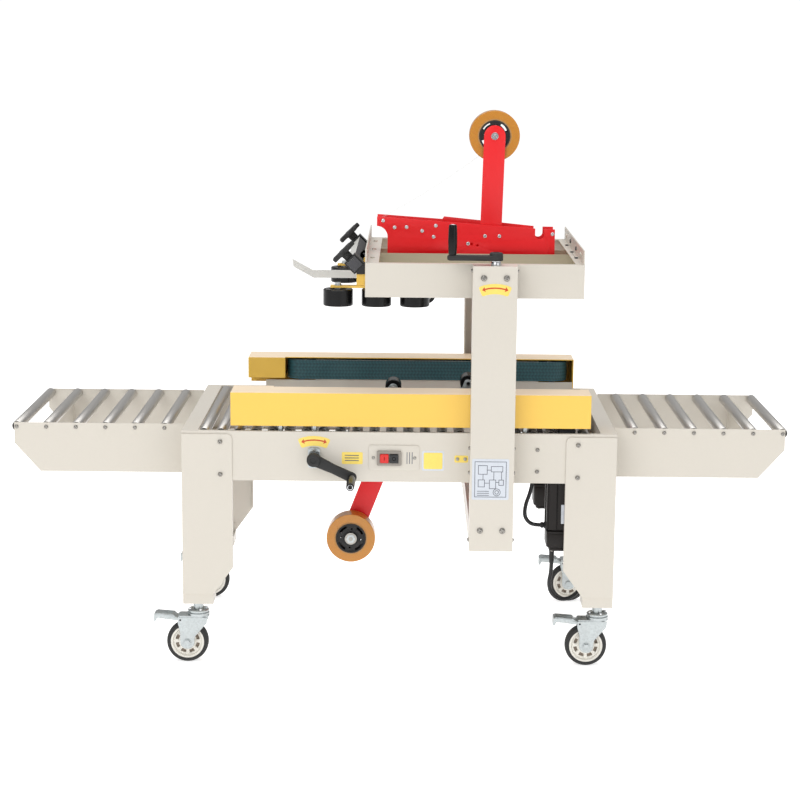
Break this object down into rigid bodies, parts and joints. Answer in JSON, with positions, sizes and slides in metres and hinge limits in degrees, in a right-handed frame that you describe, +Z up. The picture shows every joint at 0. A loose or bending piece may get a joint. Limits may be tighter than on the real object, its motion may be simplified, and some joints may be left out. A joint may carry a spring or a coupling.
{
  "type": "carton sealer machine",
  "caption": "Carton sealer with side belts, a crank-lifted taping head between two columns, roller tables at both ends and braked casters.",
  "frame": {"origin": "point on the floor under the middle of the bed", "axes": "+X along the conveying direction from infeed to outfeed, +Z up, the controls face -Y"},
  "size_m": [1.847, 0.8073, 1.307],
  "materials": {
    "beige_paint": "fine powder coat",
    "yellow_paint": "semi-gloss powder coat",
    "red_paint": "gloss powder coat",
    "black_paint": "satin",
    "zinc_steel": "zinc plated",
    "bright_steel": "bright plated",
    "dark_steel": "oiled",
    "tyre_rubber": "matt",
    "nip_rubber": "matt",
    "belt_rubber": "fine grid",
    "amber_tape": "glossy wound film",
    "black_plastic": "moulded",
    "red_plastic": "moulded",
    "bezel_plastic": "moulded",
    "lead_plastic": "matt sheath"
  },
  "bodies": {
    "frame": {"bed_frame": "beige_paint", "bed_rollers_and_rods": "zinc_steel", "legs": "beige_paint", "columns": "beige_paint", "lift_chain": "dark_steel", "table_frames": "beige_paint", "switch_plate": "bezel_plastic", "frame_fasteners": "bright_steel", "lower_cartridge_frame": "red_paint", "motor_lead_upper": "lead_plastic", "motor_lead_lower": "lead_plastic"},
    "infeed_roller_1": {"infeed_roller_1": "zinc_steel"},
    "infeed_roller_2": {"infeed_roller_2": "zinc_steel"},
    "infeed_roller_3": {"infeed_roller_3": "zinc_steel"},
    "infeed_roller_4": {"infeed_roller_4": "zinc_steel"},
    "infeed_roller_5": {"infeed_roller_5": "zinc_steel"},
    "infeed_roller_6": {"infeed_roller_6": "zinc_steel"},
    "outfeed_roller_1": {"outfeed_roller_1": "zinc_steel"},
    "outfeed_roller_2": {"outfeed_roller_2": "zinc_steel"},
    "outfeed_roller_3": {"outfeed_roller_3": "zinc_steel"},
    "outfeed_roller_4": {"outfeed_roller_4": "zinc_steel"},
    "outfeed_roller_5": {"outfeed_roller_5": "zinc_steel"},
    "outfeed_roller_6": {"outfeed_roller_6": "zinc_steel"},
    "caster_infeed_front": {"caster_fork_infeed_front": "zinc_steel"},
    "wheel_infeed_front": {"caster_wheel_infeed_front": "tyre_rubber"},
    "pedal_infeed_front": {"caster_pedal_infeed_front": "black_plastic"},
    "caster_infeed_rear": {"caster_fork_infeed_rear": "zinc_steel"},
    "wheel_infeed_rear": {"caster_wheel_infeed_rear": "tyre_rubber"},
    "pedal_infeed_rear": {"caster_pedal_infeed_rear": "black_plastic"},
    "caster_outfeed_front": {"caster_fork_outfeed_front": "zinc_steel"},
    "wheel_outfeed_front": {"caster_wheel_outfeed_front": "tyre_rubber"},
    "pedal_outfeed_front": {"caster_pedal_outfeed_front": "black_plastic"},
    "caster_outfeed_rear": {"caster_fork_outfeed_rear": "zinc_steel"},
    "wheel_outfeed_rear": {"caster_wheel_outfeed_rear": "tyre_rubber"},
    "pedal_outfeed_rear": {"caster_pedal_outfeed_rear": "black_plastic"},
    "width_crank": {"width_crank": "bright_steel"},
    "drive_front": {"drive_cover_front": "yellow_paint", "drive_base_front": "beige_paint", "drive_belt_front": "belt_rubber", "drive_motor_front": "black_paint"},
    "drive_rear": {"drive_cover_rear": "yellow_paint", "drive_base_rear": "beige_paint", "drive_belt_rear": "belt_rubber", "drive_motor_rear": "black_paint"},
    "lift_crank": {"lift_crank": "bright_steel"},
    "lift_screw_rear": {"lift_screw_rear": "bright_steel"},
    "head": {"head_frame": "beige_paint", "upper_cartridge_frame": "red_paint"},
    "upper_tape_roll": {"upper_tape_roll": "amber_tape"},
    "lower_tape_roll": {"lower_tape_roll": "amber_tape"},
    "upper_nip_arm": {"upper_nip_arm": "nip_rubber"},
    "lower_nip_arm": {"lower_nip_arm": "nip_rubber"},
    "press_front": {"press_arm_front": "yellow_paint", "press_rollers_front": "black_plastic"},
    "press_knob_front": {"press_knob_front": "black_plastic"},
    "press_rear": {"press_arm_rear": "yellow_paint", "press_rollers_rear": "black_plastic"},
    "press_knob_rear": {"press_knob_rear": "black_plastic"},
    "power_on_button": {"power_on_button": "red_plastic"},
    "power_off_button": {"power_off_button": "black_plastic"}
  },
  "joints": [
    {"name": "infeed_roller_1_spin", "type": "hinge", "parent": "frame", "child": "infeed_roller_1", "pos_m": [-0.559, 0, 0.56], "axis": [0, 1, 0], "continuous": true},
    {"name": "infeed_roller_2_spin", "type": "hinge", "parent": "frame", "child": "infeed_roller_2", "pos_m": [-0.6294, 0, 0.56], "axis": [0, 1, 0], "continuous": true},
    {"name": "infeed_roller_3_spin", "type": "hinge", "parent": "frame", "child": "infeed_roller_3", "pos_m": [-0.6998, 0, 0.56], "axis": [0, 1, 0], "continuous": true},
    {"name": "infeed_roller_4_spin", "type": "hinge", "parent": "frame", "child": "infeed_roller_4", "pos_m": [-0.7702, 0, 0.56], "axis": [0, 1, 0], "continuous": true},
    {"name": "infeed_roller_5_spin", "type": "hinge", "parent": "frame", "child": "infeed_roller_5", "pos_m": [-0.8406, 0, 0.56], "axis": [0, 1, 0], "continuous": true},
    {"name": "infeed_roller_6_spin", "type": "hinge", "parent": "frame", "child": "infeed_roller_6", "pos_m": [-0.911, 0, 0.56], "axis": [0, 1, 0], "continuous": true},
    {"name": "outfeed_roller_1_spin", "type": "hinge", "parent": "frame", "child": "outfeed_roller_1", "pos_m": [0.559, 0, 0.56], "axis": [0, 1, 0], "continuous": true},
    {"name": "outfeed_roller_2_spin", "type": "hinge", "parent": "frame", "child": "outfeed_roller_2", "pos_m": [0.6294, 0, 0.56], "axis": [0, 1, 0], "continuous": true},
    {"name": "outfeed_roller_3_spin", "type": "hinge", "parent": "frame", "child": "outfeed_roller_3", "pos_m": [0.6998, 0, 0.56], "axis": [0, 1, 0], "continuous": true},
    {"name": "outfeed_roller_4_spin", "type": "hinge", "parent": "frame", "child": "outfeed_roller_4", "pos_m": [0.7702, 0, 0.56], "axis": [0, 1, 0], "continuous": true},
    {"name": "outfeed_roller_5_spin", "type": "hinge", "parent": "frame", "child": "outfeed_roller_5", "pos_m": [0.8406, 0, 0.56], "axis": [0, 1, 0], "continuous": true},
    {"name": "outfeed_roller_6_spin", "type": "hinge", "parent": "frame", "child": "outfeed_roller_6", "pos_m": [0.911, 0, 0.56], "axis": [0, 1, 0], "continuous": true},
    {"name": "caster_infeed_front_swivel", "type": "hinge", "parent": "frame", "child": "caster_infeed_front", "pos_m": [-0.477, -0.276, 0.12], "axis": [0, 0, 1], "continuous": true},
    {"name": "wheel_infeed_front_spin", "type": "hinge", "parent": "caster_infeed_front", "child": "wheel_infeed_front", "pos_m": [-0.503, -0.276, 0.05], "axis": [0, 1, 0], "continuous": true},
    {"name": "pedal_infeed_front_press", "type": "hinge", "parent": "caster_infeed_front", "child": "pedal_infeed_front", "pos_m": [-0.519, -0.276, 0.1055], "axis": [0, -1, 0], "range_deg": [0, 14]},
    {"name": "caster_infeed_rear_swivel", "type": "hinge", "parent": "frame", "child": "caster_infeed_rear", "pos_m": [-0.477, 0.276, 0.12], "axis": [0, 0, 1], "continuous": true},
    {"name": "wheel_infeed_rear_spin", "type": "hinge", "parent": "caster_infeed_rear", "child": "wheel_infeed_rear", "pos_m": [-0.503, 0.276, 0.05], "axis": [0, 1, 0], "continuous": true},
    {"name": "pedal_infeed_rear_press", "type": "hinge", "parent": "caster_infeed_rear", "child": "pedal_infeed_rear", "pos_m": [-0.519, 0.276, 0.1055], "axis": [0, -1, 0], "range_deg": [0, 14]},
    {"name": "caster_outfeed_front_swivel", "type": "hinge", "parent": "frame", "child": "caster_outfeed_front", "pos_m": [0.477, -0.276, 0.12], "axis": [0, 0, 1], "continuous": true},
    {"name": "wheel_outfeed_front_spin", "type": "hinge", "parent": "caster_outfeed_front", "child": "wheel_outfeed_front", "pos_m": [0.451, -0.276, 0.05], "axis": [0, 1, 0], "continuous": true},
    {"name": "pedal_outfeed_front_press", "type": "hinge", "parent": "caster_outfeed_front", "child": "pedal_outfeed_front", "pos_m": [0.435, -0.276, 0.1055], "axis": [0, -1, 0], "range_deg": [0, 14]},
    {"name": "caster_outfeed_rear_swivel", "type": "hinge", "parent": "frame", "child": "caster_outfeed_rear", "pos_m": [0.477, 0.276, 0.12], "axis": [0, 0, 1], "continuous": true},
    {"name": "wheel_outfeed_rear_spin", "type": "hinge", "parent": "caster_outfeed_rear", "child": "wheel_outfeed_rear", "pos_m": [0.451, 0.276, 0.05], "axis": [0, 1, 0], "continuous": true},
    {"name": "pedal_outfeed_rear_press", "type": "hinge", "parent": "caster_outfeed_rear", "child": "pedal_outfeed_rear", "pos_m": [0.435, 0.276, 0.1055], "axis": [0, -1, 0], "range_deg": [0, 14]},
    {"name": "width_crank_turn", "type": "hinge", "parent": "frame", "child": "width_crank", "pos_m": [-0.199, -0.33, 0.509], "axis": [0, -1, 0], "range_deg": [0, 10800]},
    {"name": "drive_front_slide", "type": "slide", "parent": "frame", "child": "drive_front", "axis": [0, 1, 0], "range_m": [0, 0.15]},
    {"name": "drive_rear_slide", "type": "slide", "parent": "frame", "child": "drive_rear", "axis": [0, -1, 0], "range_m": [0, 0.15]},
    {"name": "lift_crank_turn", "type": "hinge", "parent": "frame", "child": "lift_crank", "pos_m": [0.2165, -0.333, 0.98], "axis": [0, 0, 1], "range_deg": [0, 10800]},
    {"name": "lift_screw_rear_turn", "type": "hinge", "parent": "frame", "child": "lift_screw_rear", "pos_m": [0.2165, 0.333, 0.6], "axis": [0, 0, 1], "range_deg": [0, 10800]},
    {"name": "head_lower", "type": "slide", "parent": "frame", "child": "head", "axis": [0, 0, -1], "range_m": [0, 0.15]},
    {"name": "upper_tape_roll_spin", "type": "hinge", "parent": "head", "child": "upper_tape_roll", "pos_m": [0.223, 0, 1.246], "axis": [0, 1, 0], "continuous": true},
    {"name": "lower_tape_roll_spin", "type": "hinge", "parent": "frame", "child": "lower_tape_roll", "pos_m": [-0.1205, 0, 0.241], "axis": [0, 1, 0], "continuous": true},
    {"name": "upper_nip_arm_swing", "type": "hinge", "parent": "head", "child": "upper_nip_arm", "pos_m": [0.006, 0, 0.943], "axis": [0, -1, 0], "range_deg": [0, 20], "stiffness_Nm_per_rad": 3, "springref_deg": -28.65},
    {"name": "lower_nip_arm_swing", "type": "hinge", "parent": "frame", "child": "lower_nip_arm", "pos_m": [-0.075, 0, 0.54], "axis": [0, 1, 0], "range_deg": [0, 20], "stiffness_Nm_per_rad": 3, "springref_deg": -28.65},
    {"name": "press_front_slide", "type": "slide", "parent": "head", "child": "press_front", "axis": [0, 1, 0], "range_m": [0, 0.12]},
    {"name": "press_knob_front_turn", "type": "hinge", "parent": "press_front", "child": "press_knob_front", "pos_m": [-0.108, -0.226, 0.957], "axis": [-0.7071, 0, 0.7071], "range_deg": [0, 360]},
    {"name": "press_rear_slide", "type": "slide", "parent": "head", "child": "press_rear", "axis": [0, -1, 0], "range_m": [0, 0.12]},
    {"name": "press_knob_rear_turn", "type": "hinge", "parent": "press_rear", "child": "press_knob_rear", "pos_m": [-0.108, 0.226, 0.957], "axis": [-0.7071, 0, 0.7071], "range_deg": [0, 360]},
    {"name": "power_on_button_press", "type": "slide", "parent": "frame", "child": "power_on_button", "axis": [0, 1, 0], "range_m": [0, 0.003], "stiffness_N_per_m": 300, "springref_m": -0.002},
    {"name": "power_off_button_press", "type": "slide", "parent": "frame", "child": "power_off_button", "axis": [0, 1, 0], "range_m": [0, 0.003], "stiffness_N_per_m": 300, "springref_m": -0.002}
  ],
  "couplings": [
    {"joint": "drive_front_slide", "follows": "width_crank_turn", "m_per_rad": 0.00079577},
    {"joint": "drive_rear_slide", "follows": "width_crank_turn", "m_per_rad": 0.00079577},
    {"joint": "lift_screw_rear_turn", "follows": "lift_crank_turn", "ratio": 1},
    {"joint": "head_lower", "follows": "lift_crank_turn", "m_per_rad": 0.00079577}
  ]
}
